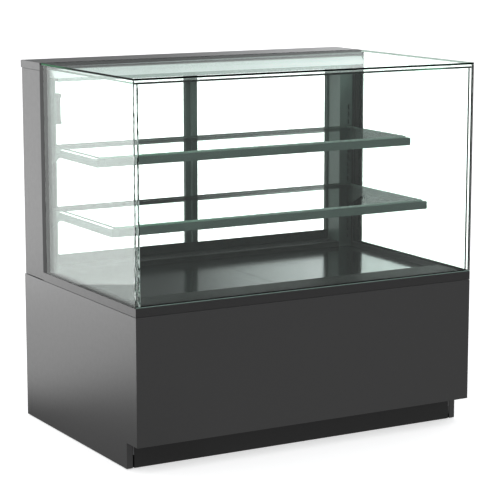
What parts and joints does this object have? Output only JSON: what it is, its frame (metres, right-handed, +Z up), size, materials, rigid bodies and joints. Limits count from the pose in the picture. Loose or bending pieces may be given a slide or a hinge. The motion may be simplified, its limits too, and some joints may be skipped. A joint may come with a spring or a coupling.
{
  "type": "refrigerated bakery display case",
  "caption": "Free-standing refrigerated display case: double-glazed box on a closed dark base, with lift-off glass shelves, sliding rear doors and a removable deck over a cold well.",
  "frame": {"origin": "centre of the footprint at floor level", "axes": "+X right as the customer sees it, -Y towards the customer, +Z up"},
  "size_m": [1.2, 0.816, 1.176],
  "materials": {
    "base_paint": "charcoal powder coat, satin",
    "frame_paint": "charcoal powder coat, satin",
    "kick_paint": "black powder coat, matt",
    "black_ledge": "black powder coat, satin",
    "deck_paint": "black enamel, glossy",
    "post_metal": "grey anodised aluminium, satin",
    "shelf_metal": "grey anodised aluminium, satin",
    "door_metal": "grey anodised aluminium, satin",
    "outlet_metal": "natural aluminium, satin",
    "lamp_metal": "pale anodised aluminium",
    "cap_paint": "charcoal powder coat, satin",
    "clear_glass": "clear float glass, polished edges",
    "shelf_glass": "clear float glass, polished edges",
    "door_glass": "clear toughened glass",
    "seal_black": "black glazing silicone and profile",
    "diffuser": "opal acrylic, translucent",
    "led_board": "white circuit board with diodes",
    "probe_plastic": "grey moulding",
    "foot_steel": "zinc-plated steel",
    "galvanised": "galvanised sheet steel",
    "tub_skin": "double-skinned tub, stucco aluminium",
    "coil_metal": "aluminium fins on copper tubes",
    "fan_plastic": "black moulded plastic",
    "motor_black": "black enamel",
    "pipe_copper": "bare copper pipe",
    "service_paint": "charcoal powder coat, satin",
    "tray_plastic": "dark grey moulded plastic",
    "fascia_plastic": "black glossy fascia",
    "switch_plastic": "black moulded plastic",
    "gland_plastic": "black nylon",
    "screw_steel": "dark zinc-plated steel"
  },
  "bodies": {
    "cabinet": {"air_outlet_ledge": "outlet_metal", "base_pan": "galvanised", "base_side_left": "base_paint", "base_side_right": "base_paint", "compressor": "motor_black", "condenser": "coil_metal", "condenser_fan_motor": "motor_black", "control_panel": "fascia_plastic", "door_sill": "post_metal", "evaporator": "coil_metal", "evaporator_fan_plate": "galvanised", "fixing_screws": "screw_steel", "front_band": "frame_paint", "front_glass": "clear_glass", "front_ledge": "black_ledge", "front_panel": "base_paint", "glazing_seals": "seal_black", "header_cap": "cap_paint", "header_rail": "post_metal", "insulated_tub": "tub_skin", "kick_plate": "kick_paint", "lamp_diffuser": "diffuser", "lamp_housing": "lamp_metal", "led_strip": "led_board", "power_inlet": "gland_plastic", "rear_panel": "base_paint", "rear_post_left": "post_metal", "rear_post_right": "post_metal", "refrigerant_lines": "pipe_copper", "side_frame_left": "frame_paint", "side_frame_right": "frame_paint", "side_glass_left": "clear_glass", "side_glass_right": "clear_glass", "temperature_probe_guard": "probe_plastic", "top_glass": "clear_glass"},
    "condenser_fan": {"condenser_fan": "fan_plastic"},
    "evaporator_fan_left": {"evaporator_fan_left": "fan_plastic"},
    "evaporator_fan_right": {"evaporator_fan_right": "fan_plastic"},
    "drip_tray": {"drip_tray": "tray_plastic"},
    "service_panel": {"service_panel": "service_paint"},
    "deck_panel_left": {"deck_panel_left": "deck_paint"},
    "deck_panel_right": {"deck_panel_right": "deck_paint"},
    "door_left": {"door_left_frame": "door_metal", "door_left_glass": "door_glass"},
    "door_right": {"door_right_frame": "door_metal", "door_right_glass": "door_glass"},
    "power_switch": {"power_switch": "switch_plastic"},
    "upper_shelf": {"upper_shelf_bracket_left": "shelf_metal", "upper_shelf_bracket_right": "shelf_metal", "upper_shelf_rails": "shelf_metal", "upper_shelf_glass": "shelf_glass"},
    "lower_shelf": {"lower_shelf_bracket_left": "shelf_metal", "lower_shelf_bracket_right": "shelf_metal", "lower_shelf_rails": "shelf_metal", "lower_shelf_glass": "shelf_glass"},
    "foot_front_left": {"levelling_foot_front_left": "foot_steel"},
    "foot_front_right": {"levelling_foot_front_right": "foot_steel"},
    "foot_rear_left": {"levelling_foot_rear_left": "foot_steel"},
    "foot_rear_right": {"levelling_foot_rear_right": "foot_steel"}
  },
  "joints": [
    {"name": "door_left_slide", "type": "slide", "parent": "cabinet", "child": "door_left", "axis": [1, 0, 0], "range_m": [0, 0.528]},
    {"name": "door_right_slide", "type": "slide", "parent": "cabinet", "child": "door_right", "axis": [1, 0, 0], "range_m": [-0.528, 0]},
    {"name": "upper_shelf_lift", "type": "slide", "parent": "cabinet", "child": "upper_shelf", "axis": [0, 0, 1], "range_m": [0, 0.008]},
    {"name": "lower_shelf_lift", "type": "slide", "parent": "cabinet", "child": "lower_shelf", "axis": [0, 0, 1], "range_m": [0, 0.008]},
    {"name": "deck_left_lift", "type": "slide", "parent": "cabinet", "child": "deck_panel_left", "axis": [0, 0, 1], "range_m": [0, 0.15]},
    {"name": "deck_right_lift", "type": "slide", "parent": "cabinet", "child": "deck_panel_right", "axis": [0, 0, 1], "range_m": [0, 0.15]},
    {"name": "service_panel_removal", "type": "slide", "parent": "cabinet", "child": "service_panel", "axis": [0, 1, 0], "range_m": [0, 0.12]},
    {"name": "drip_tray_slide", "type": "slide", "parent": "cabinet", "child": "drip_tray", "axis": [0, 1, 0], "range_m": [0, 0.3]},
    {"name": "foot_front_left_height", "type": "slide", "parent": "cabinet", "child": "foot_front_left", "axis": [0, 0, 1], "range_m": [-0.012, 0.0025]},
    {"name": "foot_front_right_height", "type": "slide", "parent": "cabinet", "child": "foot_front_right", "axis": [0, 0, 1], "range_m": [-0.012, 0.0025]},
    {"name": "foot_rear_left_height", "type": "slide", "parent": "cabinet", "child": "foot_rear_left", "axis": [0, 0, 1], "range_m": [-0.012, 0.0025]},
    {"name": "foot_rear_right_height", "type": "slide", "parent": "cabinet", "child": "foot_rear_right", "axis": [0, 0, 1], "range_m": [-0.012, 0.0025]},
    {"name": "condenser_fan_spin", "type": "hinge", "parent": "cabinet", "child": "condenser_fan", "pos_m": [0.28, -0.216, 0.18], "axis": [0, 1, 0], "continuous": true},
    {"name": "evaporator_fan_left_spin", "type": "hinge", "parent": "cabinet", "child": "evaporator_fan_left", "pos_m": [-0.2, 0.006, 0.408], "axis": [0, 1, 0], "continuous": true},
    {"name": "evaporator_fan_right_spin", "type": "hinge", "parent": "cabinet", "child": "evaporator_fan_right", "pos_m": [0.2, 0.006, 0.408], "axis": [0, 1, 0], "continuous": true},
    {"name": "power_switch_rock", "type": "hinge", "parent": "cabinet", "child": "power_switch", "pos_m": [0.51, 0.403, 0.415], "axis": [1, 0, 0], "range_deg": [-12, 0]}
  ]
}
